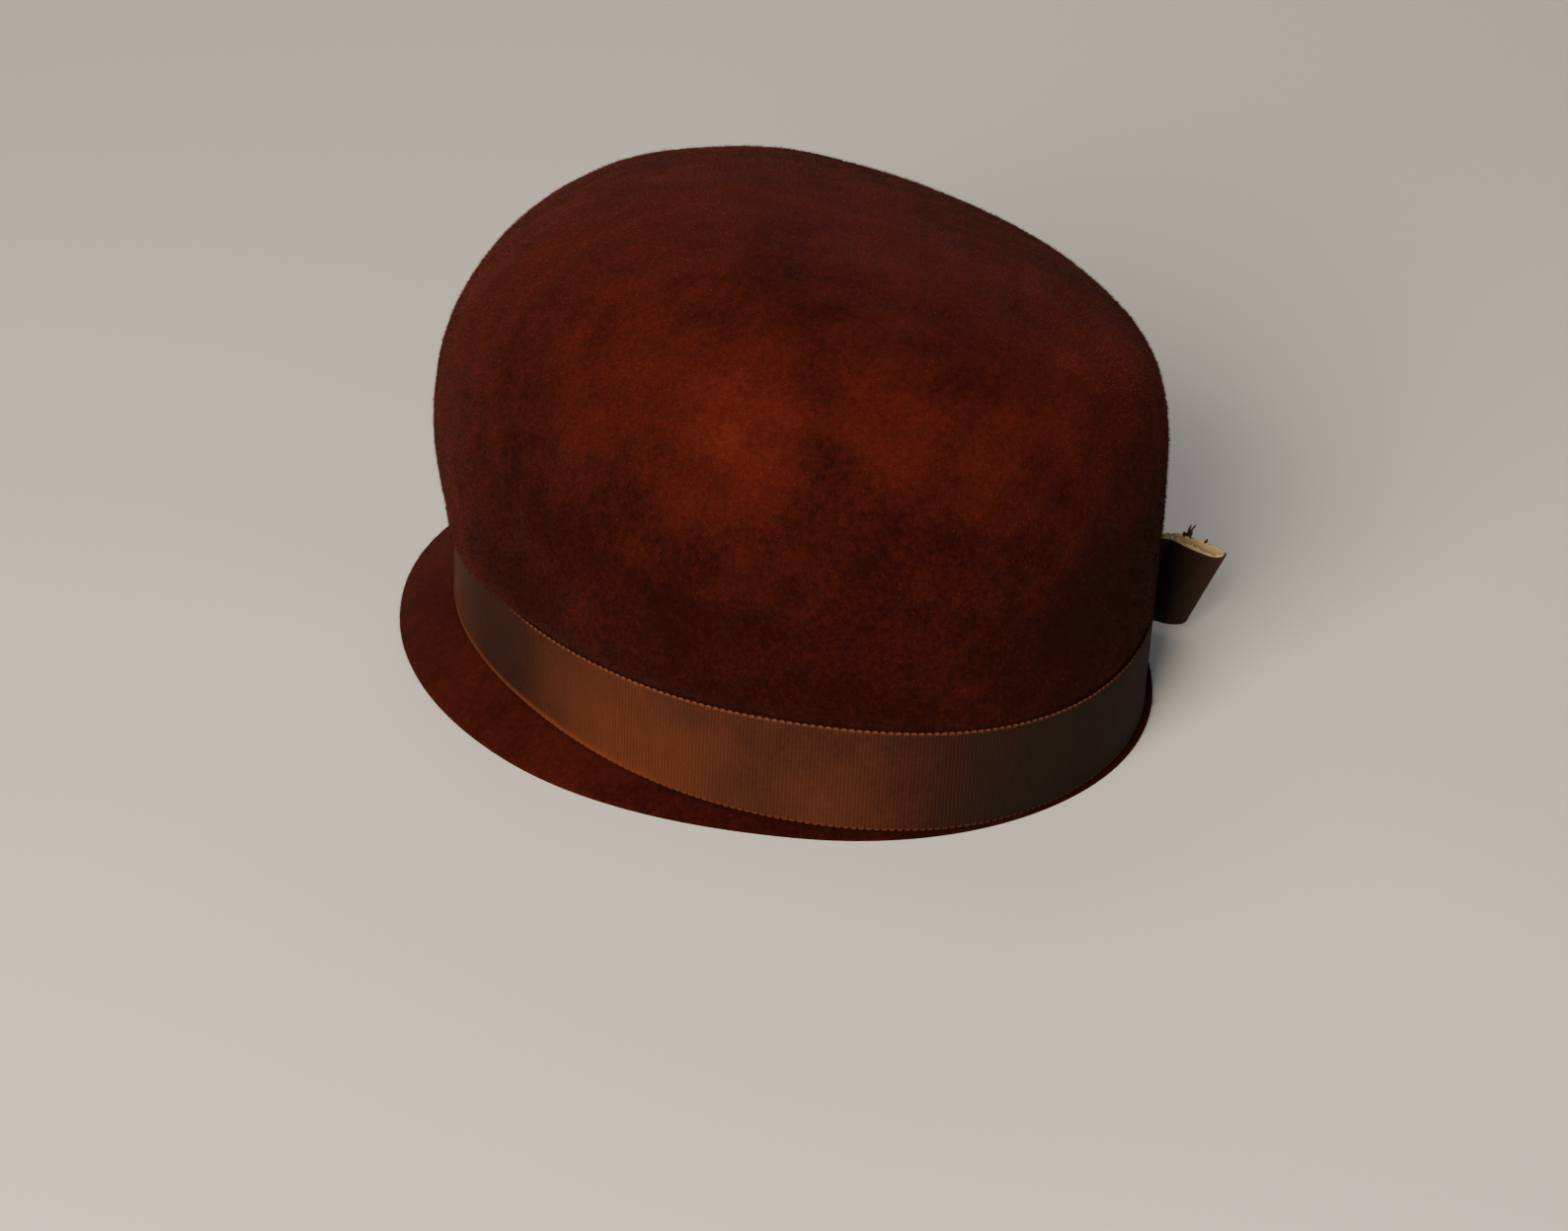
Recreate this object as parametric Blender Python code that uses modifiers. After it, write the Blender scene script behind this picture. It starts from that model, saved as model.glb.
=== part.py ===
"""Cloche hat of blocked felt with a ribbon band and a stiffened ribbon bow.

The felt body is one piece: a deep rounded crown and a visor-like brim, wide at the front and
almost gone at the back. The front is -Y, the wearer's left is +X, and the brim rests on z = 0.
"""

import math

import bmesh
import bpy
import numpy as np
from mathutils import Matrix, Vector

# Driving dimensions, in metres
HAT_LENGTH = 0.202
HAT_WIDTH = 0.168
RIBBON_WIDTH = 0.027
RIBBON_WALL = 0.0010
FELT_WALL = 0.0020
CLEARANCE = 0.0003

# The ribbon's lower edge: its mean height, and how far it rises at the front and falls behind
SEAT_HEIGHT = 0.0077
SEAT_TILT = 0.0058
SEAT_SHIFT = 0.0012

# The crown above the ribbon
CROWN_RISE = 0.096
CROWN_LEAN = 0.0092
TOP_TILT_FRONT = 0.0055
TOP_TILT_LEFT = 0.0120
SWELL_START = 0.0050

# The brim, and how high its upper edge stands before the underside is cut flat
BRIM_FRONT = 0.020
EDGE_RISE = 0.0012

# The bow on the wearer's right, behind the side
BOW_TURN = math.radians(250)
BOW_LENGTH = 0.0298
BOW_SPREAD = math.radians(25)
BOW_RIBBON_WIDTH = 0.0243
BOW_THICKNESS = 0.0077
BOW_PINCH = 0.0032
BOW_DROP = 0.0014
STIFFENER_WALL = 0.0010
KNOT_WIDTH = 0.0105
KNOT_GAP = 0.0005

# Mesh fineness
TURN_STEPS = 64
CROWN_ROWS = 15
SIDE_STEPS = 9
FOLD_STEPS = 10
CORNER_STEPS = 3

# Shape numbers: how square the head's oval is, and how the crown's meridian turns over
OVAL_POWER = 2.035
DOME_POWER = 2.23
SWELL_HEIGHT = 0.73
NARROWING = 0.076
NARROWING_TOP = 0.110

# Shape numbers of the bow: how far its folds slant for each metre of height, how much thicker
# its loops are along their lower edge than at mid height, how far the knot gathers its width,
# and the shares of its length past the knot over which a loop turns off the hat, opens to its
# full thickness, and is bare before its lining starts
BOW_SLANT = 0.465
BOW_FLARE = 0.21
BOW_GATHER = 0.18
BOW_BEND = 0.30
BOW_OPENING = 0.58
LINING_START = 0.42

# Brim width from the front round to the back, as a share of BRIM_FRONT
BRIM_COLUMNS = ("degrees", "width")
BRIM = (
    (0, 1.00),
    (45, 0.76),
    (90, 0.57),
    (135, 0.16),
    (180, 0.05),
)

# Sections across the brim from its edge inwards, as shares of its width and of its drop
BRIM_PROFILE_COLUMNS = ("out", "fall")
BRIM_PROFILE = (
    (1.00, 1.00),
    (0.72, 0.66),
    (0.42, 0.33),
    (0.16, 0.09),
)

# Heights of the felt's sections behind the ribbon, as shares of the ribbon's width
SEAT_SHARES = (0.35, 0.70)

# How the crown turns over from its side to its top, and how far it swells past the ribbon as a
# share of the hat's half size
SHOULDER_COLUMNS = ("degrees", "squareness", "swell")
SHOULDERS = (
    (0, 3.8, 0.104),
    (90, 4.5, 0.057),
    (180, 7.8, -0.012),
    (270, 7.2, 0.035),
)

# Soft dents in the felt: where, how high as a share of the rise, and depth and spread as shares
# of CROWN_RISE
DENT_COLUMNS = ("degrees", "height", "depth", "spread")
DENTS = (
    (118, 0.42, 0.012, 0.22),
    (150, 0.60, 0.010, 0.26),
    (232, 0.93, 0.004, 0.20),
    (30, 0.66, 0.008, 0.24),
    (300, 0.50, 0.012, 0.28),
)


def column(table, names, name):
    """One named column of a table, as an array."""
    return np.array([row[names.index(name)] for row in table], dtype=float)


def smooth_read(xs, ys, x):
    """Read a table between its rows with a smooth curve that never overshoots a row."""
    slope = np.diff(ys) / np.diff(xs)
    tangent = np.zeros(len(xs))
    same = slope[:-1] * slope[1:] > 0
    mean = 2 * slope[:-1] * slope[1:] / np.where(same, slope[:-1] + slope[1:], 1)
    tangent[1:-1] = np.where(same, mean, 0)
    row = np.clip(np.searchsorted(xs, x) - 1, 0, len(xs) - 2)
    gap = xs[row + 1] - xs[row]
    t = (x - xs[row]) / gap
    from_rows = ys[row] * (1 + 2 * t) * (1 - t) ** 2 + ys[row + 1] * t * t * (3 - 2 * t)
    from_slopes = gap * t * (1 - t) * (tangent[row] * (1 - t) - tangent[row + 1] * t)
    return from_rows + from_slopes


def round_read(values, turn):
    """A smooth curve through four values at the front, left, back and right."""
    front, left, back, right = values
    mean = (front + left + back + right) / 4
    oval = (front + back - left - right) / 4
    ahead = (front - back) / 2 * np.cos(turn)
    aside = (left - right) / 2 * np.sin(turn)
    return mean + ahead + aside + oval * np.cos(2 * turn)


def ease(x):
    """A step from 0 to 1 with level ends."""
    x = np.clip(x, 0, 1)
    return x * x * (3 - 2 * x)


def oval(turn):
    """The ribbon's outer face in plan; the turn runs from the front to the wearer's left."""
    share = 2 / OVAL_POWER
    x = HAT_WIDTH / 2 * np.sign(np.sin(turn)) * np.abs(np.sin(turn)) ** share
    y = -HAT_LENGTH / 2 * np.sign(np.cos(turn)) * np.abs(np.cos(turn)) ** share
    return x, y


def oval_normal(turn):
    """The outward direction of the oval in plan."""
    x, y = oval(turn)
    nx = x / (HAT_WIDTH / 2) ** 2
    ny = y / (HAT_LENGTH / 2) ** 2
    size = np.hypot(nx, ny)
    return nx / size, ny / size


def seat_height(y):
    """The height of the ribbon's lower edge, which rises towards the front."""
    return SEAT_HEIGHT - SEAT_TILT * y / (HAT_LENGTH / 2)


def ring(turn, offset, height):
    """A closed section at an outward offset from the oval."""
    x, y = oval(turn)
    nx, ny = oval_normal(turn)
    return np.stack([x + nx * offset, y + ny * offset, height + 0 * x], -1)


def brim_width(turn):
    """The brim's width past the ribbon, the same on the left and right."""
    degrees = np.degrees(np.abs((turn + math.pi) % (2 * math.pi) - math.pi))
    places = column(BRIM, BRIM_COLUMNS, "degrees")
    widths = column(BRIM, BRIM_COLUMNS, "width")
    return BRIM_FRONT * smooth_read(places, widths, degrees)


def dent_depth(turn, share):
    """How far the felt is pressed in at a place on the crown."""
    depth = 0 * turn
    half = (HAT_LENGTH + HAT_WIDTH) / 4
    for row in DENTS:
        dent = dict(zip(DENT_COLUMNS, row))
        aside = (turn - math.radians(dent["degrees"]) + math.pi) % (2 * math.pi) - math.pi
        above = (share - dent["height"]) * CROWN_RISE
        away = np.hypot(aside * half, above) / (dent["spread"] * CROWN_RISE)
        depth = depth + dent["depth"] * CROWN_RISE * np.exp(-(away**2))
    return depth


def crown_ring(turn, share):
    """A section of the crown at a share of its rise above the ribbon."""
    squareness = round_read(column(SHOULDERS, SHOULDER_COLUMNS, "squareness"), turn)
    swell = round_read(column(SHOULDERS, SHOULDER_COLUMNS, "swell"), turn)
    reach = np.clip(1 - share**squareness, 0, 1) ** (1 / DOME_POWER)
    reach = reach * (1 + swell * np.sin(math.pi * share**SWELL_HEIGHT))
    x, y = oval(turn)
    nx, ny = oval_normal(turn)
    tucked = (RIBBON_WALL + CLEARANCE) * (1 - ease(share * CROWN_RISE / SWELL_START))
    pressed = tucked + dent_depth(turn, share) * ease(reach)
    x = (x * (1 - NARROWING * share - NARROWING_TOP * share**2) - nx * pressed) * reach
    y = (y - ny * pressed) * reach
    height = SEAT_HEIGHT + RIBBON_WIDTH + CROWN_RISE * share
    height = height - (1 - share) * SEAT_TILT * y / (HAT_LENGTH / 2)
    height = height - TOP_TILT_FRONT * share * y / (HAT_LENGTH / 2)
    height = height + TOP_TILT_LEFT * share * x / (HAT_LENGTH / 2)
    return np.stack([x, y + SEAT_SHIFT + CROWN_LEAN * share, height], -1)


def brim_rings(turn):
    """Sections from the brim's edge in to its root under the ribbon."""
    x, y = oval(turn)
    width = brim_width(turn)
    inset = RIBBON_WALL + CLEARANCE
    root = seat_height(y) - 2 * CLEARANCE
    rings = []
    for row in BRIM_PROFILE:
        place = dict(zip(BRIM_PROFILE_COLUMNS, row))
        height = root + (EDGE_RISE - root) * place["fall"]
        rings.append(ring(turn, width * place["out"], height))
    rings.append(ring(turn, -inset, root))
    return rings


def seat_rings(turn):
    """Sections up the felt wall behind the ribbon."""
    x, y = oval(turn)
    inset = RIBBON_WALL + CLEARANCE
    rings = []
    for share in SEAT_SHARES:
        section = ring(turn, -inset, seat_height(y) + RIBBON_WIDTH * share)
        section[:, 1] += SEAT_SHIFT * share
        rings.append(section)
    return rings


def loft(rings, tip=None, closed=True):
    """A surface through sections, turned so that it faces out, with an optional pole."""
    mesh = bmesh.new()
    rows = [[mesh.verts.new(point) for point in section] for section in rings]
    count = len(rows[0])
    last = count if closed else count - 1
    for low, high in zip(rows, rows[1:]):
        for i in range(last):
            j = (i + 1) % count
            mesh.faces.new((low[i], low[j], high[j], high[i]))
    if tip is not None:
        pole = mesh.verts.new(tip)
        for i in range(count):
            mesh.faces.new((rows[-1][i], rows[-1][(i + 1) % count], pole))
    return mesh


def material(name, colour, roughness):
    """A plain surface in the piece's own colour."""
    made = bpy.data.materials.new(name)
    made.use_nodes = True
    shader = made.node_tree.nodes["Principled BSDF"]
    shader.inputs["Base Color"].default_value = (*colour, 1)
    shader.inputs["Roughness"].default_value = roughness
    shader.inputs["Metallic"].default_value = 0.0
    return made


def piece(name, mesh, parts, parent, surface, wall):
    """An object from an open surface, thickened inwards to its wall."""
    data = bpy.data.meshes.new(name)
    mesh.to_mesh(data)
    mesh.free()
    data.shade_smooth()
    data.materials.append(surface)
    made = bpy.data.objects.new(name, data)
    parts.objects.link(made)
    made.parent = parent
    thicken = made.modifiers.new("wall", "SOLIDIFY")
    thicken.thickness = wall
    thicken.offset = -1
    thicken.use_even_offset = True
    return made


def felt_body(parts, cutters, parent):
    """Crown and brim blocked from one felt hood, with the brim's edge cut level to rest on."""
    turn = np.arange(TURN_STEPS) * 2 * math.pi / TURN_STEPS
    rings = brim_rings(turn) + seat_rings(turn)
    for row in range(CROWN_ROWS):
        rings.append(crown_ring(turn, math.sin(row / CROWN_ROWS * math.pi / 2)))
    tip = crown_ring(turn[:1], 1.0)[0]
    surface = material("felt", (0.075, 0.020, 0.009), 0.92)
    body = piece("felt_body", loft(rings, tip), parts, parent, surface, FELT_WALL)
    size = 2 * (HAT_LENGTH + BRIM_FRONT)
    block = bmesh.new()
    bmesh.ops.create_cube(block, size=size, matrix=Matrix.Translation((0, 0, -size / 2)))
    data = bpy.data.meshes.new("floor_cut")
    block.to_mesh(data)
    block.free()
    cutter = bpy.data.objects.new("floor_cut", data)
    cutters.objects.link(cutter)
    cutter.parent = parent
    cutter.hide_render = True
    cutter.display_type = "WIRE"
    cut = body.modifiers.new("level_edge", "BOOLEAN")
    cut.operation = "DIFFERENCE"
    cut.object = cutter
    return body


def hat_band(parts, parent):
    """The ribbon round the base of the crown."""
    turn = np.arange(TURN_STEPS) * 2 * math.pi / TURN_STEPS
    x, y = oval(turn)
    rings = []
    for share in (0.0, 0.5, 1.0):
        section = ring(turn, 0.0, seat_height(y) + RIBBON_WIDTH * share)
        section[:, 1] += SEAT_SHIFT * share
        rings.append(section)
    surface = material("ribbon", (0.095, 0.050, 0.026), 0.6)
    return piece("hat_band", loft(rings), parts, parent, surface, RIBBON_WALL)


def bow_frame():
    """The bow's place on the band: its middle, along the band to the back, and outward."""
    x, y = oval(np.array([BOW_TURN]))
    nx, ny = oval_normal(np.array([BOW_TURN]))
    outward = Vector((nx[0], ny[0], 0))
    along = outward.cross(Vector((0, 0, 1)))
    stand = BOW_PINCH / 2 + CLEARANCE + RIBBON_WALL + KNOT_GAP
    height = seat_height(y[0]) + RIBBON_WIDTH / 2 - BOW_DROP
    middle = Vector((x[0], y[0] + SEAT_SHIFT / 2, height)) + outward * stand
    return middle, along, outward


def past_knot(length, stretch):
    """A step from 0 in the knot to 1 at a share of the bow's length past it."""
    return float(ease((abs(length) - KNOT_WIDTH / 2 - CLEARANCE) / (BOW_LENGTH * stretch)))


def bow_point(length, across, lift):
    """A place on the bow, whose two loops stand off the hat and run longer along their top."""
    middle, along, outward = bow_frame()
    spread = BOW_SPREAD * past_knot(length, BOW_BEND)
    ahead = along * math.copysign(1, length)
    way = ahead * math.cos(spread) + outward * math.sin(spread)
    square = outward * math.cos(spread) - ahead * math.sin(spread)
    slant = BOW_SLANT * lift * past_knot(length, BOW_BEND)
    reach = abs(length) + slant
    point = middle + way * reach + square * across
    gathered = 1 - BOW_GATHER * (1 - past_knot(length, BOW_BEND))
    return (point.x, point.y, point.z + lift * gathered)


def loop_outline(start, inset, lift):
    """Round one loop at a height, from the hat side of its foot over the fold to its outer side."""
    thickness = BOW_THICKNESS * (1 - BOW_FLARE * lift / (BOW_RIBBON_WIDTH / 2))
    radius = thickness / 2
    tip = BOW_LENGTH - radius
    lengths = [start + (tip - start) * step / SIDE_STEPS for step in range(SIDE_STEPS)]
    outer = []
    for length in lengths:
        half = (BOW_PINCH + (thickness - BOW_PINCH) * past_knot(length, BOW_OPENING)) / 2
        outer.append((length, half - inset))
    fold = []
    for step in range(FOLD_STEPS + 1):
        turn = math.pi * (step / FOLD_STEPS - 0.5)
        fold.append((tip + (radius - inset) * math.cos(turn), (radius - inset) * math.sin(turn)))
    hat_side = [(length, -across) for length, across in outer]
    return hat_side + fold + outer[::-1]


def bow_strip(outline, closed):
    """A ribbon's face through the outlines that a function gives for its three heights."""
    rings = []
    for lift in (-BOW_RIBBON_WIDTH / 2, 0.0, BOW_RIBBON_WIDTH / 2):
        rings.append([bow_point(length, across, lift) for length, across in outline(lift)])
    return loft(rings, closed=closed)


def bow_loops(parts, parent):
    """One folded ribbon that makes both loops."""

    def outline(lift):
        rear = loop_outline(KNOT_WIDTH / 2, 0.0, lift)
        return rear + [(-length, -across) for length, across in rear]

    surface = material("bow_ribbon", (0.030, 0.016, 0.010), 0.65)
    return piece("bow_loops", bow_strip(outline, True), parts, parent, surface, RIBBON_WALL)


def bow_stiffener(name, side, parts, parent):
    """The pale stiff layer that lines one loop: side 1 is the rear loop and -1 the front one."""
    level_wall = RIBBON_WALL * math.hypot(1, BOW_SLANT)
    start = KNOT_WIDTH / 2 + CLEARANCE + LINING_START * BOW_LENGTH

    def outline(lift):
        lining = loop_outline(start, level_wall + CLEARANCE, lift)
        return [(side * length, side * across) for length, across in lining]

    surface = material(name, (0.42, 0.30, 0.14), 0.8)
    return piece(name, bow_strip(outline, False), parts, parent, surface, STIFFENER_WALL)


def bow_knot(parts, parent):
    """The short ribbon wrapped round the middle of the bow."""
    cover = CLEARANCE + RIBBON_WALL
    corners = ((1, 1), (-1, 1), (-1, -1), (1, -1))
    rings = []
    for length in (-KNOT_WIDTH / 2, KNOT_WIDTH / 2):
        section = []
        for quarter, (side, level) in enumerate(corners):
            for step in range(CORNER_STEPS + 1):
                turn = math.pi / 2 * (quarter + step / CORNER_STEPS)
                across = side * BOW_PINCH / 2 + cover * math.cos(turn)
                lift = level * BOW_RIBBON_WIDTH / 2 + cover * math.sin(turn) / (1 - BOW_GATHER)
                section.append(bow_point(length, across, lift))
        rings.append(section)
    surface = material("bow_knot", (0.030, 0.016, 0.010), 0.65)
    return piece("bow_knot", loft(rings), parts, parent, surface, RIBBON_WALL)


def centre_on_base(parts, origin):
    """Move the hat so that the middle of its base is the origin."""
    bpy.context.view_layer.update()
    graph = bpy.context.evaluated_depsgraph_get()
    corners = []
    for made in parts.objects:
        if made.type == "MESH":
            shape = made.evaluated_get(graph)
            corners += [shape.matrix_world @ Vector(corner) for corner in shape.bound_box]
    low = [min(corner[axis] for corner in corners) for axis in range(3)]
    high = [max(corner[axis] for corner in corners) for axis in range(3)]
    origin.location = (-(low[0] + high[0]) / 2, -(low[1] + high[1]) / 2, -low[2])


def main():
    for old in list(bpy.data.objects):
        bpy.data.objects.remove(old, do_unlink=True)
    parts = bpy.data.collections.new("cloche_hat")
    cutters = bpy.data.collections.new("cutters")
    bpy.context.scene.collection.children.link(parts)
    bpy.context.scene.collection.children.link(cutters)
    hat = bpy.data.objects.new("cloche_hat_origin", None)
    parts.objects.link(hat)
    felt_body(parts, cutters, hat)
    hat_band(parts, hat)
    bow_loops(parts, hat)
    bow_stiffener("bow_stiffener_rear", 1, parts, hat)
    bow_stiffener("bow_stiffener_front", -1, parts, hat)
    bow_knot(parts, hat)
    centre_on_base(parts, hat)


main()
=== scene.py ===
"""Looks of a cloche hat: brushed velour felt, a ribbed ribbon band and a stiffened ribbon bow."""

import math
from functools import partial

import bpy
import numpy as np
from mathutils import Matrix, Vector


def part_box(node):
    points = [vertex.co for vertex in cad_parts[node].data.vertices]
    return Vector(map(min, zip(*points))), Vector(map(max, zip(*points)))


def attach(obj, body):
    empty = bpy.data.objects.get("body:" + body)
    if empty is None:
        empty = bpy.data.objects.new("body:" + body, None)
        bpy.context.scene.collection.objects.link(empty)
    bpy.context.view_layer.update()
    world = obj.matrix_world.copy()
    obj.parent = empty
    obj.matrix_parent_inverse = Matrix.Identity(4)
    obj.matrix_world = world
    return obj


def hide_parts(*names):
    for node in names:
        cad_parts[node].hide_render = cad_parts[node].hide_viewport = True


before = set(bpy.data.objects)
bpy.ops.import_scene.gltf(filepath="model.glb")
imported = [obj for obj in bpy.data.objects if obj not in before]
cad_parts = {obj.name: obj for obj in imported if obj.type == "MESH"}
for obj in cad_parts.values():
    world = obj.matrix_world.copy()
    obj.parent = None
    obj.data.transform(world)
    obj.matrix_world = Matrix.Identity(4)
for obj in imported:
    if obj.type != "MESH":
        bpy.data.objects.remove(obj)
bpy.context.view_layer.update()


# Felt body
# One hood of velour felt, steamed and pulled down over a block, then brushed so that its nap stands.
# Crown and brim are the same piece, and the brim's edge is cut level and left raw.

HAT_LENGTH = 0.202
HAT_WIDTH = 0.168
FELT_WALL = 0.0020
FELT_INSET = 0.0011
RIBBON_WIDTH = 0.027
SEAT_HEIGHT = 0.0077
SEAT_TILT = 0.0058
SEAT_SHIFT = 0.0012
ROOT_SINK = 0.0006
BRIM_FRONT = 0.020
EDGE_RISE = 0.0012
CROWN_RISE = 0.096
CROWN_LEAN = 0.0092
TOP_TILT_FRONT = 0.0055
TOP_TILT_LEFT = 0.0120
LIP_RISE = 0.0030
OVAL_POWER = 2.035
DOME_POWER = 2.23
SWELL_HEIGHT = 0.73
NARROWING = 0.076
NARROWING_TOP = 0.110
BRIM_FALL = 1.3
FELT_COLUMNS = 320
BRIM_ROWS = 16
SEAT_ROWS = 5
CROWN_ROWS = 104
EDGE_CROWDING = 0.35
INNER_STEP = 3
RIPPLE_FROM = 0.040
RIPPLE_EASE = 0.02

band_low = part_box("hat_band")[0]
HAT_CENTRE = np.array([band_low[0] + HAT_WIDTH / 2, band_low[1] + HAT_LENGTH / 2, 0.0])

# Brim width from the front round to the back, as a share of BRIM_FRONT
BRIM = {"degrees": (0, 45, 90, 135, 180), "width": (1.00, 0.76, 0.57, 0.11, 0.03)}

# How the crown turns over and how far it swells, at the front, left, back and right
SHOULDERS = {"squareness": (3.8, 4.5, 7.8, 7.2), "swell": (0.104, 0.057, -0.012, 0.035)}

# The ribbon is sewn on by hand and wanders: degrees round, spread, and how high each edge lies
WANDER = (
    {"degrees": 80, "spread": 24, "lower": 0.0019, "upper": -0.0015},
    {"degrees": 137, "spread": 18, "lower": 0.0, "upper": 0.0012},
    {"degrees": 166, "spread": 24, "lower": -0.0013, "upper": 0.0},
    {"degrees": 182, "spread": 20, "lower": 0.0, "upper": -0.0014},
)

# Soft dents: degrees round from the front, height up the crown, depth and spread in crown rises
DENTS = (
    {"degrees": 118, "height": 0.42, "depth": 0.012, "spread": 0.22},
    {"degrees": 150, "height": 0.60, "depth": 0.010, "spread": 0.26},
    {"degrees": 232, "height": 0.93, "depth": 0.004, "spread": 0.20},
    {"degrees": 30, "height": 0.66, "depth": 0.008, "spread": 0.24},
    {"degrees": 300, "height": 0.50, "depth": 0.012, "spread": 0.28},
    {"degrees": 66, "height": 0.03, "depth": -0.020, "spread": 0.10},
    {"degrees": 75, "height": 0.03, "depth": -0.025, "spread": 0.10},
    {"degrees": 85, "height": 0.03, "depth": -0.018, "spread": 0.10},
)

# The crown's faint ripples
RIPPLES = (
    {"amount": 0.00022, "wavelength": 0.030, "seed": 11},
    {"amount": 0.00010, "wavelength": 0.011, "seed": 12},
)

# The cut edge between the felt's two faces: how far in along the brim, and how high
RIM = (
    {"inward": 0.030, "height": 0.0},
    {"inward": 0.008, "height": 0.00035},
    {"inward": -0.004, "height": 0.00080},
)


def ease(x):
    """A step from 0 to 1 with level ends: 3x^2 - 2x^3."""
    x = np.clip(x, 0, 1)
    return x * x * (3 - 2 * x)


def oval(turn):
    """A superellipse in plan; the turn runs from the front, -Y, to the wearer's left, +X."""
    share = 2 / OVAL_POWER
    x = HAT_WIDTH / 2 * np.sign(np.sin(turn)) * np.abs(np.sin(turn)) ** share
    y = -HAT_LENGTH / 2 * np.sign(np.cos(turn)) * np.abs(np.cos(turn)) ** share
    return x, y


def oval_normal(turn):
    """The oval's outward direction: the gradient x/a^2, y/b^2 of its ellipse, at length 1."""
    x, y = oval(turn)
    nx = x / (HAT_WIDTH / 2) ** 2
    ny = y / (HAT_LENGTH / 2) ** 2
    size = np.hypot(nx, ny)
    return nx / size, ny / size


def places(x, y, z):
    """Points from three arrays of any shapes that fit each other."""
    return np.stack(np.broadcast_arrays(x, y, z), -1)


def seat_height(y):
    """The ribbon's lower edge, a plane that rises towards the front."""
    return SEAT_HEIGHT - SEAT_TILT * y / (HAT_LENGTH / 2)


def four_way(name, turn):
    """A value round the hat: mean + front-back cosine + left-right sine + an oval cosine of 2 turns."""
    front, left, back, right = SHOULDERS[name]
    level = (front + left + back + right) / 4
    ahead = (front - back) / 2 * np.cos(turn)
    aside = (left - right) / 2 * np.sin(turn)
    return level + ahead + aside + (front + back - left - right) / 4 * np.cos(2 * turn)


def brim_width(turn):
    """The brim's width: its table read with a Hermite curve whose inner slopes are harmonic means, alike
    left and right.
    """
    xs = np.array(BRIM["degrees"], float)
    ys = np.array(BRIM["width"], float)
    slope = np.diff(ys) / np.diff(xs)
    tangent = np.zeros(len(xs))
    tangent[1:-1] = 2 * slope[:-1] * slope[1:] / (slope[:-1] + slope[1:])
    degrees = np.degrees(np.abs((turn + math.pi) % (2 * math.pi) - math.pi))
    row = np.clip(np.searchsorted(xs, degrees) - 1, 0, len(xs) - 2)
    gap = xs[row + 1] - xs[row]
    t = (degrees - xs[row]) / gap
    level = ys[row] * (1 + 2 * t) * (1 - t) ** 2 + ys[row + 1] * t * t * (3 - 2 * t)
    bend = gap * t * (1 - t) * (tangent[row] * (1 - t) - tangent[row + 1] * t)
    return BRIM_FRONT * (level + bend)


def dent_depth(turn, share):
    """Sum of round dents, and of bulges less than 0, each depth times exp(-(distance / spread)^2)."""
    half = (HAT_LENGTH + HAT_WIDTH) / 4
    depth = 0 * turn
    for dent in DENTS:
        aside = (turn - math.radians(dent["degrees"]) + math.pi) % (2 * math.pi) - math.pi
        away = np.hypot(aside * half, (share - dent["height"]) * CROWN_RISE)
        fall = np.exp(-((away / (dent["spread"] * CROWN_RISE)) ** 2))
        depth = depth + dent["depth"] * CROWN_RISE * fall
    return depth


def brim_point(turn, inward):
    """The brim's upper face from its edge, 0, to its root, 1; it falls as the outward share^1.3."""
    x, y = oval(turn)
    nx, ny = oval_normal(turn)
    width = brim_width(turn)
    offset = width - (width + FELT_INSET) * inward
    root = seat_height(y) - ROOT_SINK
    fall = np.clip(offset / width, 0, 1.2) ** BRIM_FALL
    return places(x + nx * offset, y + ny * offset, root + (EDGE_RISE - root) * fall)


def seat_point(turn, share):
    """The upright felt behind the ribbon, from its lower edge, 0, to its upper edge, 1."""
    x, y = oval(turn)
    nx, ny = oval_normal(turn)
    height = seat_height(y) - ROOT_SINK * (1 - share) + RIBBON_WIDTH * share
    return places(x - nx * FELT_INSET, y - ny * FELT_INSET + SEAT_SHIFT * share, height)


def crown_point(turn, share):
    """The crown: the oval scaled by (1 - share^squareness)^(1/power), swelled, leaned and tilted."""
    reach = np.clip(1 - share ** four_way("squareness", turn), 0, 1) ** (1 / DOME_POWER)
    reach = reach * (1 + four_way("swell", turn) * np.sin(math.pi * share**SWELL_HEIGHT))
    x, y = oval(turn)
    nx, ny = oval_normal(turn)
    free = ease(share * CROWN_RISE / LIP_RISE)
    pressed = FELT_INSET * (1 - free) + dent_depth(turn, share) * ease(reach) * free
    x = (x * (1 - NARROWING * share - NARROWING_TOP * share**2) - nx * pressed) * reach
    y = (y - ny * pressed) * reach
    height = SEAT_HEIGHT + RIBBON_WIDTH + CROWN_RISE * share
    height = height - (1 - share) * SEAT_TILT * y / (HAT_LENGTH / 2)
    height = height - TOP_TILT_FRONT * share * y / (HAT_LENGTH / 2)
    height = height + TOP_TILT_LEFT * share * x / (HAT_LENGTH / 2)
    return places(x, y + SEAT_SHIFT + CROWN_LEAN * share, height)


def round_bell(degrees, place):
    """1 at a place round the hat, less away from it: exp(-(degrees away / its spread)^2)."""
    aside = (degrees - place["degrees"] + 180) % 360 - 180
    return np.exp(-((aside / place["spread"]) ** 2))


def settle(points):
    """Points moved up or down with the ribbon's edges, and less towards the brim's edge and the tip."""
    x, y, z = np.moveaxis(points - HAT_CENTRE, -1, 0)
    degrees = np.degrees(np.arctan2(x / HAT_WIDTH, -y / HAT_LENGTH))
    share = (z - seat_height(y)) / RIBBON_WIDTH
    near_lower = np.clip(np.where(share < 0, z / seat_height(y), 1 - share), 0, 1)
    near_upper = np.clip(share, 0, 1) * ease(2 - share)
    rise = 0 * x
    for row in WANDER:
        rise = rise + round_bell(degrees, row) * (row["lower"] * near_lower + row["upper"] * near_upper)
    return points + rise[..., None] * np.array([0.0, 0.0, 1.0])


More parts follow.
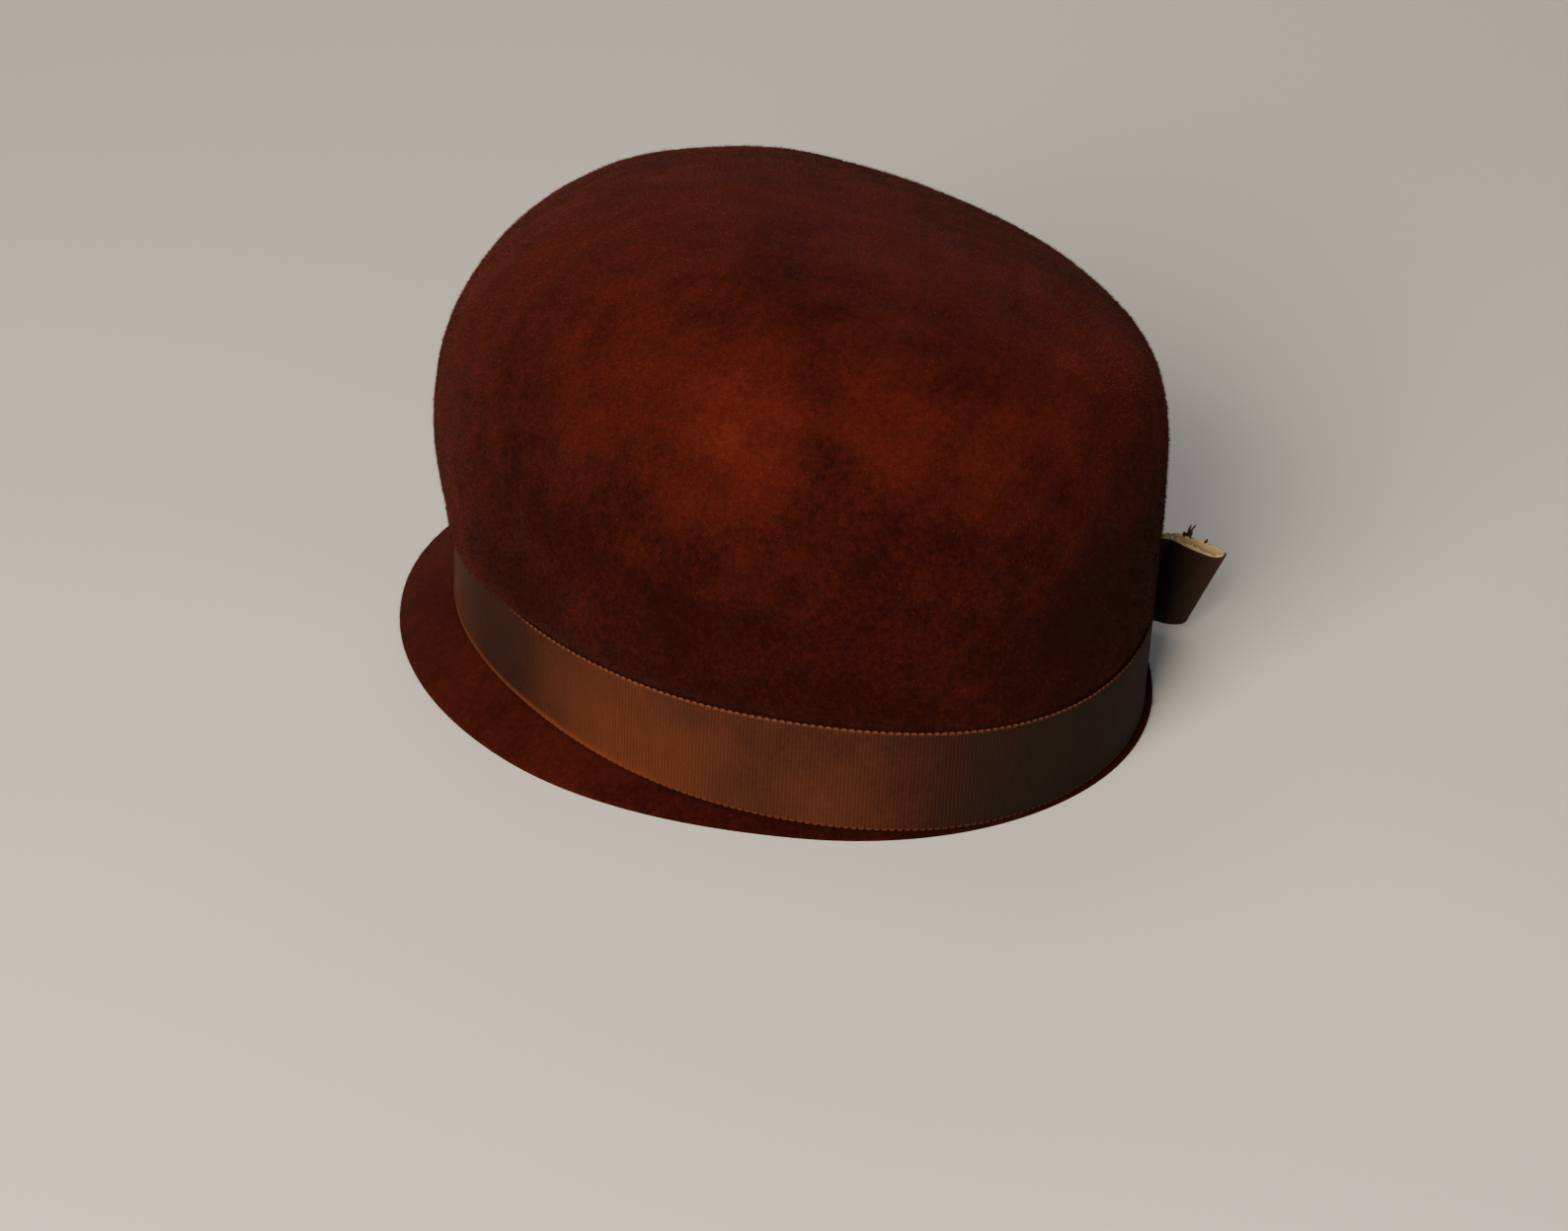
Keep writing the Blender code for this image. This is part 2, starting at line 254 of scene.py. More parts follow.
def even_turns(count):
    """Evenly spaced turns, once round from 0."""
    return np.arange(count) * 2 * math.pi / count


def felt_grid():
    """The felt's outer face as rows of points, from the brim's edge up to just under the tip."""
    turn = even_turns(FELT_COLUMNS)
    inward = (np.arange(BRIM_ROWS) / BRIM_ROWS)[:, None]
    brim = brim_point(turn[None, :], ease(inward) * EDGE_CROWDING + inward * (1 - EDGE_CROWDING))
    seat = seat_point(turn[None, :], (np.arange(SEAT_ROWS) / SEAT_ROWS)[:, None])
    share = np.sin(np.arange(CROWN_ROWS) / CROWN_ROWS * math.pi / 2)[:, None]
    crown = crown_point(turn[None, :], share)
    return np.concatenate([brim, seat, crown]) + HAT_CENTRE


def grid_normals(points):
    """Outward normals of a grid that closes in its columns: the cross product of its two slopes."""
    along = np.roll(points, -1, axis=1) - np.roll(points, 1, axis=1)
    up = np.gradient(points, axis=0)
    normal = np.cross(along, up)
    return normal / np.maximum(np.linalg.norm(normal, axis=-1, keepdims=True), 1e-12)


def soft_noise(points, wavelength, seed):
    """Smooth noise from -1 to 1: a sum of twelve sine waves in random directions."""
    rng = np.random.default_rng(seed)
    heading = rng.normal(size=(12, 3))
    heading /= np.linalg.norm(heading, axis=1, keepdims=True)
    pitch = 2 * math.pi / wavelength * rng.uniform(0.7, 1.5, 12)
    phase = rng.uniform(0, 2 * math.pi, 12)
    waves = np.sin(points @ (heading * pitch[:, None]).T + phase)
    return waves.sum(-1) / math.sqrt(12)


def layered_noise(points, layers):
    """Soft noise at several wavelengths, each times its amount, added up."""
    return sum(layer["amount"] * soft_noise(points, layer["wavelength"], layer["seed"]) for layer in layers)


def new_object(name, data):
    """An object in the scene with this data."""
    made = bpy.data.objects.new(name, data)
    bpy.context.scene.collection.objects.link(made)
    return made


def mesh_piece(name, points, faces, surface):
    """An object from an array of points and a list of faces, shaded smooth."""
    data = bpy.data.meshes.new(name)
    data.from_pydata(points.reshape(-1, 3).tolist(), [], faces)
    data.shade_smooth()
    data.materials.append(surface)
    return new_object(name, data)


def band_faces(rows, columns):
    """Quads between the rows of a grid whose columns close on themselves."""
    low = np.arange(rows - 1)[:, None] * columns
    here = np.arange(columns)[None, :]
    there = (here + 1) % columns
    quads = np.stack([low + here, low + there, low + columns + there, low + columns + here], -1)
    return quads.reshape(-1, 4).tolist()


def tip_faces(rows, columns):
    """Fans that close the first and last row of a grid onto the two points that come after it."""
    here = np.arange(columns)
    there = (here + 1) % columns
    last = rows * columns
    first_fan = np.stack([there, here, last + 0 * here], -1)
    last_fan = np.stack([last - columns + here, last - columns + there, last + 1 + 0 * here], -1)
    return np.stack([first_fan, last_fan], 1).reshape(-1, 3).tolist()


outer = felt_grid()
outer_normal = grid_normals(outer)
above = ease((outer[..., 2:3] - RIPPLE_FROM) / RIPPLE_EASE)
outer = settle(outer + outer_normal * layered_noise(outer, RIPPLES)[..., None] * above)
inner = (outer - outer_normal * FELT_WALL)[1::INNER_STEP]
inner[..., 2] = np.maximum(inner[..., 2], 0)
tip_outside = outer[-1].mean(0, keepdims=True)
tip_inside = inner[-1].mean(0, keepdims=True)
rim = []
for row in RIM:
    edge = brim_point(even_turns(FELT_COLUMNS), row["inward"]) + HAT_CENTRE
    edge[:, 2] = row["height"]
    rim.append(edge)
wall = np.concatenate([inner[::-1], np.array(rim), outer])
felt_faces = band_faces(len(wall), FELT_COLUMNS) + tip_faces(len(wall), FELT_COLUMNS)
felt_points = np.concatenate([wall.reshape(-1, 3), tip_inside, tip_outside])

# Painted light and shade: patches where the crown looks lighter or darker, from how the lamps fall on velour
# brushed another way and into a soft crease, by their place on the crown
LIGHT_AND_SHADE_PATCHES = (
    {"degrees": 115, "height": 0.72, "spread": 0.17, "tone": 0.50},
    {"degrees": 147, "height": 0.56, "spread": 0.16, "tone": -0.25},
    {"degrees": 117, "height": 0.96, "spread": 0.07, "tone": -0.35},
    {"degrees": 124, "height": 0.91, "spread": 0.06, "tone": -0.35},
    {"degrees": 128, "height": 0.86, "spread": 0.06, "tone": -0.35},
    {"degrees": 130, "height": 0.80, "spread": 0.06, "tone": -0.40},
    {"degrees": 131, "height": 0.74, "spread": 0.06, "tone": -0.40},
    {"degrees": 132, "height": 0.68, "spread": 0.06, "tone": -0.35},
    {"degrees": 133, "height": 0.60, "spread": 0.08, "tone": -0.30},
    {"degrees": 160, "height": 0.85, "spread": 0.14, "tone": -0.20},
    {"degrees": 186, "height": 0.90, "spread": 0.18, "tone": 0.20},
    {"degrees": 210, "height": 0.84, "spread": 0.18, "tone": 0.65},
    {"degrees": 194, "height": 0.28, "spread": 0.30, "tone": -0.35},
    {"degrees": 92, "height": 0.32, "spread": 0.22, "tone": -0.25},
    {"degrees": 62, "height": 0.20, "spread": 0.24, "tone": 0.55},
    {"degrees": 20, "height": 0.55, "spread": 0.30, "tone": 0.25},
    {"degrees": 270, "height": 0.60, "spread": 0.30, "tone": 0.20},
    {"degrees": 320, "height": 0.40, "spread": 0.28, "tone": -0.20},
)

# Cloudy unevenness all over, from broad to fine
NAP_CLOUDS = (
    {"amount": 0.12, "wavelength": 0.060, "seed": 21},
    {"amount": 0.11, "wavelength": 0.024, "seed": 22},
    {"amount": 0.11, "wavelength": 0.012, "seed": 23},
    {"amount": 0.05, "wavelength": 0.005, "seed": 24},
)
# Painted shade: the crown darker down its side towards the ribbon, and the brim darker, most of all towards
# the back
PAINTED_SHADE = 0.66
PAINTED_SHADE_FROM = 0.10
PAINTED_SHADE_TO = 0.85
BRIM_BELOW = -0.05
BRIM_PAINTED_SHADE = -0.20
BEHIND_PAINTED_SHADE = 0.9
BEHIND_SPAN = 0.4 * HAT_LENGTH
TONE_GAIN = 0.32
TONE_LEVEL = -0.29


def nap_tone(points):
    """How light the nap looks: painted shade down the crown's side and on the brim towards the back, round
    patches of painted light and shade, and soft random noise.
    """
    tone = layered_noise(points, NAP_CLOUDS)
    share = (points[..., 2] - SEAT_HEIGHT - RIBBON_WIDTH) / CROWN_RISE
    side = ease((share - PAINTED_SHADE_FROM) / (PAINTED_SHADE_TO - PAINTED_SHADE_FROM)) - 1
    behind = ease((points[..., 1] - HAT_CENTRE[1]) / BEHIND_SPAN)
    tone = tone + PAINTED_SHADE * np.where(share > BRIM_BELOW, side, BRIM_PAINTED_SHADE - BEHIND_PAINTED_SHADE * behind)
    for patch in LIGHT_AND_SHADE_PATCHES:
        turn = np.array([math.radians(patch["degrees"])])
        middle = crown_point(turn, np.array([patch["height"]]))[0] + HAT_CENTRE
        away = np.linalg.norm(points - middle, axis=-1) / (patch["spread"] * CROWN_RISE)
        tone = tone + patch["tone"] * np.exp(-(away**2))
    return tone


def set_inputs(node, values):
    """Sets a node's inputs from a dictionary of names and values."""
    for name, value in values.items():
        node.inputs[name].default_value = value


def new_material(name, roughness, specular):
    """A material, its node tree and its Principled shader."""
    made = bpy.data.materials.new(name)
    made.use_nodes = True
    tree = made.node_tree
    shader = tree.nodes["Principled BSDF"]
    set_inputs(shader, {"Roughness": roughness, "Specular IOR Level": specular})
    return made, tree, shader


def colour_ramp(tree, share, stops):
    """The colour at a share output along a ramp of (place, colour) stops."""
    ramp = tree.nodes.new("ShaderNodeValToRGB")
    tree.links.new(share, ramp.inputs["Fac"])
    while len(ramp.color_ramp.elements) < len(stops):
        ramp.color_ramp.elements.new(0.5)
    for element, (place, colour) in zip(ramp.color_ramp.elements, stops):
        element.position = place
        element.color = (*colour, 1)
    return ramp.outputs["Color"]


def math_node(tree, operation, *values, clamp=False):
    """A math node's result, from numbers and other nodes' outputs."""
    node = tree.nodes.new("ShaderNodeMath")
    node.operation = operation
    node.use_clamp = clamp
    for socket, value in zip(node.inputs, values):
        if isinstance(value, (int, float)):
            socket.default_value = value
        else:
            tree.links.new(value, socket)
    return node.outputs[0]


def new_group(name, given, made):
    """A shader node group with number inputs and outputs of these names."""
    group = bpy.data.node_groups.new(name, "ShaderNodeTree")
    for in_out, names in (("INPUT", given), ("OUTPUT", made)):
        for socket in names:
            group.interface.new_socket(socket, in_out=in_out, socket_type="NodeSocketFloat")
    return group


def add_group(tree, group, values):
    """A group node with its own input values."""
    node = tree.nodes.new("ShaderNodeGroup")
    node.node_tree = group
    set_inputs(node, values)
    return node


def add_bump(tree, shader, height, strength, distance):
    """A bump from this height output on the shader's normal."""
    bump = tree.nodes.new("ShaderNodeBump")
    set_inputs(bump, {"Strength": strength, "Distance": distance})
    tree.links.new(height, bump.inputs["Height"])
    tree.links.new(bump.outputs["Normal"], shader.inputs["Normal"])


def pile_group():
    """Fine grain of a fibrous surface: cloudy clumps and short hairs, as a mask and a height."""
    group = new_group("fibre_grain", ("Clump size", "Hair size"), ("Mask", "Height"))
    nodes, links = group.nodes, group.links
    given = nodes.new("NodeGroupInput")
    out = nodes.new("NodeGroupOutput")
    place = nodes.new("ShaderNodeTexCoord")
    clump = nodes.new("ShaderNodeTexNoise")
    set_inputs(clump, {"Detail": 5, "Roughness": 0.62})
    hair = nodes.new("ShaderNodeTexNoise")
    set_inputs(hair, {"Detail": 3, "Roughness": 0.7, "Distortion": 0.6})
    links.new(place.outputs["Object"], clump.inputs["Vector"])
    links.new(place.outputs["Object"], hair.inputs["Vector"])
    links.new(given.outputs["Clump size"], clump.inputs["Scale"])
    links.new(given.outputs["Hair size"], hair.inputs["Scale"])
    blend = nodes.new("ShaderNodeMix")
    blend.inputs["Factor"].default_value = 0.45
    links.new(clump.outputs["Fac"], blend.inputs["A"])
    links.new(hair.outputs["Fac"], blend.inputs["B"])
    links.new(blend.outputs["Result"], out.inputs["Mask"])
    links.new(hair.outputs["Fac"], out.inputs["Height"])
    return group


fibre_grain = pile_group()


def velour_material():
    """Brushed felt: its colour from the nap's tone, which holds painted light and shade, and a fine mottle,
    with a faint sheen and a soft grain.
    """
    made, tree, shader = new_material("velour_felt", 0.95, 0.05)
    sheen = {"Sheen Weight": 0.030, "Sheen Roughness": 0.5, "Sheen Tint": (0.80, 0.32, 0.24, 1)}
    set_inputs(shader, sheen)
    tone = tree.nodes.new("ShaderNodeAttribute")
    tone.attribute_name = "nap_tone"
    grain = add_group(tree, fibre_grain, {"Clump size": 600, "Hair size": 1900})
    mottle = math_node(tree, "MULTIPLY_ADD", grain.outputs["Mask"], 1.15, tone.outputs["Fac"])
    felt_dye_and_shade = colour_ramp(tree, mottle, (
        (0.02, (0.012, 0.0013, 0.0006)),
        (0.44, (0.044, 0.0053, 0.0029)),
        (0.95, (0.112, 0.0158, 0.0080)),
    ))
    tree.links.new(felt_dye_and_shade, shader.inputs["Base Color"])
    add_bump(tree, shader, grain.outputs["Height"], 0.55, 0.0005)
    return made


felt = mesh_piece("velour_felt_body", felt_points, felt_faces, velour_material())
tone_layer = felt.data.attributes.new("nap_tone", "FLOAT", "POINT")
tone_layer.data.foreach_set("value", (nap_tone(felt_points) * TONE_GAIN + TONE_LEVEL).astype(np.float32))
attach(felt, "root")
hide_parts("felt_body")


# Velour nap
# The short raised hairs of the felt's own wool, brushed down and back, which soften every outline.
# Each piece's hairs are one colour, and the crown's are split into darker and lighter pieces by the felt's
# tone, so they carry its painted light and shade as well.

NAP_LENGTH = 0.0011
NAP_THICKNESS = 0.00013
NAP_SUNK = 0.0002
NAP_LEAN = 0.85
NAP_STRAY = 0.55
NAP_LIFT = 0.25
NAP_BRUSHED = np.array([0.25, 0.1, -1.0])
TONE_SCATTER = 0.35
CROWN_HAIRS = 46000
BRIM_HAIRS = 16000

nap_normal = grid_normals(outer)


def spread_over(grid, normals, count, rng, first_row, last_row):
    """Random places on a closed grid, chosen by area: two shares inside a cell picked by its size."""
    here = grid[first_row:last_row]
    beside = np.roll(here, -1, axis=1)
    area = np.linalg.norm(np.cross(beside[:-1] - here[:-1], here[1:] - here[:-1]), axis=-1).ravel()
    cell = np.searchsorted(np.cumsum(area) / area.sum(), rng.random(count))
    row, column = np.divmod(np.minimum(cell, area.size - 1), grid.shape[1])
    row = row + first_row
    after = (column + 1) % grid.shape[1]
    u, v = rng.random((2, count, 1))
    low = grid[row, column] * (1 - u) + grid[row, after] * u
    high = grid[row + 1, column] * (1 - u) + grid[row + 1, after] * u
    return low * (1 - v) + high * v, normals[row, column]


def hair_points(root, heading, side, length, thickness):
    """A closed needle for each hair: three corners round its root and one tip, 4 faces."""
    other = np.cross(heading, side)
    corners = []
    for step in range(3):
        turn = 2 * math.pi * step / 3
        across = side * math.cos(turn) + other * math.sin(turn)
        corners.append(root + across * thickness[:, None] / 2)
    corners.append(root + heading * length[:, None])
    return np.stack(corners, 1)


def hair_faces(count):
    """The four outward faces of each needle."""
    pattern = np.array([(0, 2, 1), (0, 1, 3), (1, 2, 3), (2, 0, 3)])
    return (np.arange(count)[:, None, None] * 4 + pattern).reshape(-1, 3).tolist()


def hair_directions(normal, rng):
    """Headings that lean from the normal towards a brushed direction, down and round the hat."""
    down = np.cross(normal, np.cross(NAP_BRUSHED, normal))
    down = down / np.maximum(np.linalg.norm(down, axis=1, keepdims=True), 1e-9)
    stray = rng.normal(size=normal.shape) * NAP_STRAY
    heading = normal + down * NAP_LEAN + stray
    inward = np.minimum((heading * normal).sum(1, keepdims=True) - NAP_LIFT, 0)
    heading = heading - normal * inward
    heading = heading / np.linalg.norm(heading, axis=1, keepdims=True)
    side = np.cross(heading, rng.normal(size=normal.shape))
    return heading, side / np.linalg.norm(side, axis=1, keepdims=True)


def dyed_material(name, roughness, specular, colour):
    """A material of one colour."""
    made, _, shader = new_material(name, roughness, specular)
    shader.inputs["Base Color"].default_value = (*colour, 1)
    return made


def nap_piece(name, roots, normals, colour, rng):
    """Hairs at these roots as one mesh with one dyed colour."""
    heading, side = hair_directions(normals, rng)
    length = NAP_LENGTH * rng.uniform(0.55, 1.25, len(roots))
    thickness = NAP_THICKNESS * rng.uniform(0.7, 1.3, len(roots))
    points = hair_points(roots - normals * NAP_SUNK, heading, side, length, thickness)
    surface = dyed_material(name, 0.95, 0.05, colour)
    made = mesh_piece(name, points, hair_faces(len(roots)), surface)
    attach(made, "root")


nap_rng = np.random.default_rng(5)
crown_roots, crown_normals = spread_over(
    outer, nap_normal, 3 * CROWN_HAIRS, nap_rng, BRIM_ROWS + SEAT_ROWS + 1, len(outer)
)
# The crown's hairs take the felt's tone, with its painted light and shade and a random scatter, and are
# split by it into a dark, a russet and a light piece
crown_tone = nap_tone(crown_roots) + nap_rng.normal(size=len(crown_roots)) * TONE_SCATTER
darkest, lightest = np.quantile(crown_tone, (1 / 3, 2 / 3))
NAP_DYES_AND_SHADE = {
    "crown_nap_dark": (crown_tone < darkest, (0.009, 0.0010, 0.0005)),
    "crown_nap_russet": ((crown_tone >= darkest) & (crown_tone < lightest), (0.046, 0.0060, 0.0036)),
    "crown_nap_light": (crown_tone >= lightest, (0.130, 0.0200, 0.0110)),
}
for nap_name, (chosen, hair_dye_and_shade) in NAP_DYES_AND_SHADE.items():
    nap_piece(nap_name, crown_roots[chosen], crown_normals[chosen], hair_dye_and_shade, nap_rng)
brim_roots, brim_normals = spread_over(outer, nap_normal, BRIM_HAIRS, nap_rng, 0, BRIM_ROWS - 1)
nap_piece("brim_nap", brim_roots, brim_normals, (0.050, 0.0066, 0.0040), nap_rng)


# Stray fibres
# A few long wool fibres that stand out of the brim's raw edge, finer than thread. They are the
# felt's own, loosened where the edge was cut.

STRAY_COUNT = 46
STRAY_RADIUS = 0.00004
STRAND_STEPS = 12
STRAND_SIDES = 5


def strand_points(root, heading, bend, length, radius):
    """Closed tubes along root + heading t + bend t^2, thinning to a point at both ends."""
    t = np.linspace(0, 1, STRAND_STEPS)[None, :, None]
    reach = length[:, None, None]
    middle = root[:, None] + reach * (heading[:, None] * t + bend[:, None] * t * t)
    way = heading[:, None] + 2 * bend[:, None] * t
    way = way / np.linalg.norm(way, axis=-1, keepdims=True)
    side = np.cross(way, np.array([0.3, 0.5, 0.8]))
    side = side / np.linalg.norm(side, axis=-1, keepdims=True)
    other = np.cross(way, side)
    girth = radius[:, None, None] * np.sqrt(np.clip(4 * t * (1 - t), 1e-4, 1))
    turn = even_turns(STRAND_SIDES)
    ring = side[:, :, None] * np.cos(turn)[:, None] + other[:, :, None] * np.sin(turn)[:, None]
    return middle[:, :, None] + ring * girth[..., None]


def strand_faces(count):
    """The tubes' quads, with a five-sided cap at each end."""
    step = np.arange(STRAND_STEPS - 1)[:, None] * STRAND_SIDES
    here = np.arange(STRAND_SIDES)[None, :]
    there = (here + 1) % STRAND_SIDES
    up = step + STRAND_SIDES
    quads = np.stack([step + here, step + there, up + there, up + here], -1).reshape(-1, 4)
    size = STRAND_STEPS * STRAND_SIDES
    first = np.arange(count)[:, None, None] * size
    root_caps = np.arange(STRAND_SIDES)[::-1] + first[:, 0]
    tip_caps = np.arange(size - STRAND_SIDES, size) + first[:, 0]
    return (quads + first).reshape(-1, 4).tolist() + root_caps.tolist() + tip_caps.tolist()


stray_rng = np.random.default_rng(9)
stray_turn = stray_rng.uniform(0, 2 * math.pi, STRAY_COUNT)
stray_root = brim_point(stray_turn, 0.02) + HAT_CENTRE
stray_nx, stray_ny = oval_normal(stray_turn)
stray_out = places(stray_nx, stray_ny, 0.0)
stray_along = places(-stray_ny, stray_nx, 0.0) * stray_rng.choice([-1, 1], (STRAY_COUNT, 1))
stray_rise = places(0.0, 0.0, stray_rng.uniform(0.0, 0.25, STRAY_COUNT))
stray_heading = stray_out * stray_rng.uniform(0.3, 0.8, (STRAY_COUNT, 1)) + stray_along * 0.7 + stray_rise
stray_bend = stray_along * 0.3 - stray_out * 0.3
stray_surface = dyed_material("stray_wool", 0.95, 0.06, (0.060, 0.0100, 0.0060))
stray_length = stray_rng.uniform(0.0012, 0.0032, STRAY_COUNT)
stray_tubes = strand_points(
    stray_root, stray_heading, stray_bend, stray_length, np.full(STRAY_COUNT, STRAY_RADIUS)
)
strays = mesh_piece("brim_stray_fibres", stray_tubes, strand_faces(STRAY_COUNT), stray_surface)
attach(strays, "root")


# Ribbon band
# A ribbed ribbon with a looped edge, laid flat round the base of the crown and tacked down.
# Its ribs run across its width, and its two ends meet under the bow.

BAND_THICKNESS = 0.0006
BAND_RIBS = 616
RIB_COLUMNS = 4
RIB_DEPTH = 0.00006
LOOP_DEPTH = 0.00028
BAND_ROWS = 12
BAND_CLEAR = 0.0001
EDGE_FLARE = 0.0003
EDGE_ROUNDING = 0.00018
LOOP_SHARE = 0.04
ROUND_SHARE = 0.03
FLARE_SHARE = 0.07
BACK_ROWS = (0.492, 0.25, -0.25, -0.492)
OVAL_STEPS = 20001

# The weave's warp threads, and the width of the painted highlight on its looped edge, in millimetres, and
# how much ribs and warp stand up
WARP_PITCH = 0.32
EDGE_BAND = 0.9
RIB_LIFT = 0.7
WARP_LIFT = 0.12

# The ribbon's fading and its painted light and shade are stronger towards its lower edge, which is also
# paler on the wearer's left
FADE_AND_LIGHT_GAIN = 0.6
FADE_AND_LIGHT_LEVEL = -0.1
FADE_AND_LIGHT_SLOPE = 0.55
# Paler along the lower edge round the wearer's left: the share across where it starts, how softly, and where
# and how much
PALING_FROM = 0.44
PALING_EASE = 0.04
LOWER_EDGE_PALING = {"degrees": 80, "spread": 24, "amount": 0.60}

# Where the ribbon has faded from dark olive brown to russet, with painted light where the warm lamp falls
# most on it and painted shade towards the back: degrees round, spread and amount
FADING_AND_PAINTED_LIGHT = (
    {"degrees": 101, "spread": 13, "amount": 0.46},
    {"degrees": 118, "spread": 13, "amount": 0.34},
    {"degrees": 143, "spread": 12, "amount": 0.33},
    {"degrees": 57, "spread": 12, "amount": 0.36},
    {"degrees": 188, "spread": 24, "amount": -0.32},
    {"degrees": 320, "spread": 40, "amount": 0.15},
)


def rib_height(along):
    """Rounded ribs with narrow furrows between them: |sin|^0.7 of half a turn for each rib."""
    return np.abs(np.sin(math.pi * along)) ** 0.7


def across_shares(rows):
    """Shares across a ribbon from -0.5 to 0.5, closer together at its edges."""
    t = np.linspace(-1, 1, rows)
    return 0.5 * np.sin(t * math.pi / 2)


band_columns = BAND_RIBS * RIB_COLUMNS
band_turn_fine = np.linspace(0, 2 * math.pi, OVAL_STEPS)
band_x, band_y = oval(band_turn_fine)
band_run = np.concatenate([[0], np.cumsum(np.hypot(np.diff(band_x), np.diff(band_y)))])
BAND_LENGTH = float(band_run[-1])
band_at = np.arange(band_columns) / band_columns
band_turn = np.interp(band_at * BAND_LENGTH, band_run, band_turn_fine)
band_rib = rib_height(band_at * BAND_RIBS)
band_loop = np.abs(np.sin(math.pi * band_at * BAND_RIBS / 2))


def band_point(turn, share, depth):
    """A place on the ribbon: share across its width from its middle, and depth in from its face."""
    x, y = oval(turn)
    nx, ny = oval_normal(turn)
    up = share + 0.5
    height = seat_height(y) + RIBBON_WIDTH * up
    return places(x - nx * depth, y - ny * depth + SEAT_SHIFT * up, height)


def near_edge(share, reach):
    """0 over a cloth's middle, rising to 1 at its edges, which lie at shares of -0.5 and 0.5."""
    return ease((np.abs(share) - (0.5 - reach)) / reach)


def looped_edge(share, loops, width, depth):
    """Moves the outermost rows out and in with the ribbon's edge loops."""
    return share + np.sign(share) * near_edge(share, LOOP_SHARE) * (loops - 1) * depth / width


band_shares = across_shares(BAND_ROWS)[:, None]
looped = looped_edge(band_shares, band_loop[None, :], RIBBON_WIDTH, LOOP_DEPTH)
round_edge = near_edge(band_shares, ROUND_SHARE) * EDGE_ROUNDING
flare = near_edge(np.minimum(band_shares, 0), FLARE_SHARE) * EDGE_FLARE
front_depth = BAND_CLEAR + (1 - band_rib[None, :]) * RIB_DEPTH + round_edge - flare
band_front = band_point(band_turn[None, :], looped, front_depth)
back_shares = np.array(BACK_ROWS)[:, None]
back_looped = looped_edge(back_shares, band_loop[None, :], RIBBON_WIDTH, LOOP_DEPTH)
band_back = band_point(band_turn[None, :], back_looped, BAND_CLEAR + BAND_THICKNESS + 0 * back_looped)
band_points = settle(np.concatenate([band_front, band_back]) + HAT_CENTRE)


def ring_faces(rows, columns):
    """Quads of a grid that closes on itself both ways, as a strip's two faces and two edges do."""
    return (np.array(band_faces(rows + 1, columns)) % (rows * columns)).tolist()


def weave_group():
    """Ribbed ribbon: painted shade in its furrows, a painted highlight on the loops of its edge, and fine
    warp threads, from its own cloth map, in millimetres.
    """
    group = new_group("ribbon_weave", ("Rib pitch", "Half width"), ("Furrow", "Edge", "Height"))
    nodes, links = group.nodes, group.links
    given = nodes.new("NodeGroupInput")
    out = nodes.new("NodeGroupOutput")
    place = nodes.new("ShaderNodeUVMap")
    place.uv_map = "cloth"
    parts = nodes.new("ShaderNodeSeparateXYZ")
    links.new(place.outputs["UV"], parts.inputs["Vector"])
    step = partial(math_node, group)
    ribs = step("DIVIDE", parts.outputs["X"], given.outputs["Rib pitch"])
    wave = step("ABSOLUTE", step("SINE", step("MULTIPLY", ribs, math.pi)))
    furrow = step("SUBTRACT", 1.0, wave)
    links.new(furrow, out.inputs["Furrow"])
    warp = step("SINE", step("MULTIPLY", parts.outputs["Y"], 2 * math.pi / WARP_PITCH))
    lift = step("ADD", step("MULTIPLY", wave, RIB_LIFT), step("MULTIPLY", warp, WARP_LIFT))
    links.new(lift, out.inputs["Height"])
    away = step("SUBTRACT", step("ABSOLUTE", parts.outputs["Y"]), given.outputs["Half width"])
    edge = step("ADD", step("DIVIDE", away, EDGE_BAND), 1.0, clamp=True)
    dots = step("ABSOLUTE", step("SINE", step("MULTIPLY", ribs, math.pi / 2)))
    links.new(step("MULTIPLY", edge, dots), out.inputs["Edge"])
    return group


def cloth_map(made, along, across):
    """A UV map named cloth, in millimetres along and across the cloth, from two values a vertex."""
    layer = made.data.uv_layers.new(name="cloth")
    corner = np.empty(len(made.data.loops), dtype=np.int32)
    made.data.loops.foreach_get("vertex_index", corner)
    uv = np.stack([np.ravel(along)[corner], np.ravel(across)[corner]], -1) * 1000
    size = np.empty(len(made.data.polygons), dtype=np.int32)
    made.data.polygons.foreach_get("loop_total", size)
    starts = np.repeat(np.cumsum(size) - size, size)
    length = np.ravel(along).max() * 1000
    wrapped = (uv[:, 0] - uv[starts, 0]) < -length / 2
    uv[wrapped, 0] += length
    wrapped = (uv[:, 0] - uv[starts, 0]) > length / 2
    uv[wrapped, 0] -= length
    layer.data.foreach_set("uv", uv.astype(np.float32).ravel())


ribbon_weave = weave_group()


def colour_mix(tree, factor, under, over, blend="MIX"):
    """A colour mix node's result: one colour over the colour of another output."""
    mix = tree.nodes.new("ShaderNodeMix")
    mix.data_type = "RGBA"
    mix.blend_type = blend
    mix.inputs["B"].default_value = (*over, 1)
    tree.links.new(factor, mix.inputs["Factor"])
    tree.links.new(under, mix.inputs["A"])
    return mix.outputs["Result"]


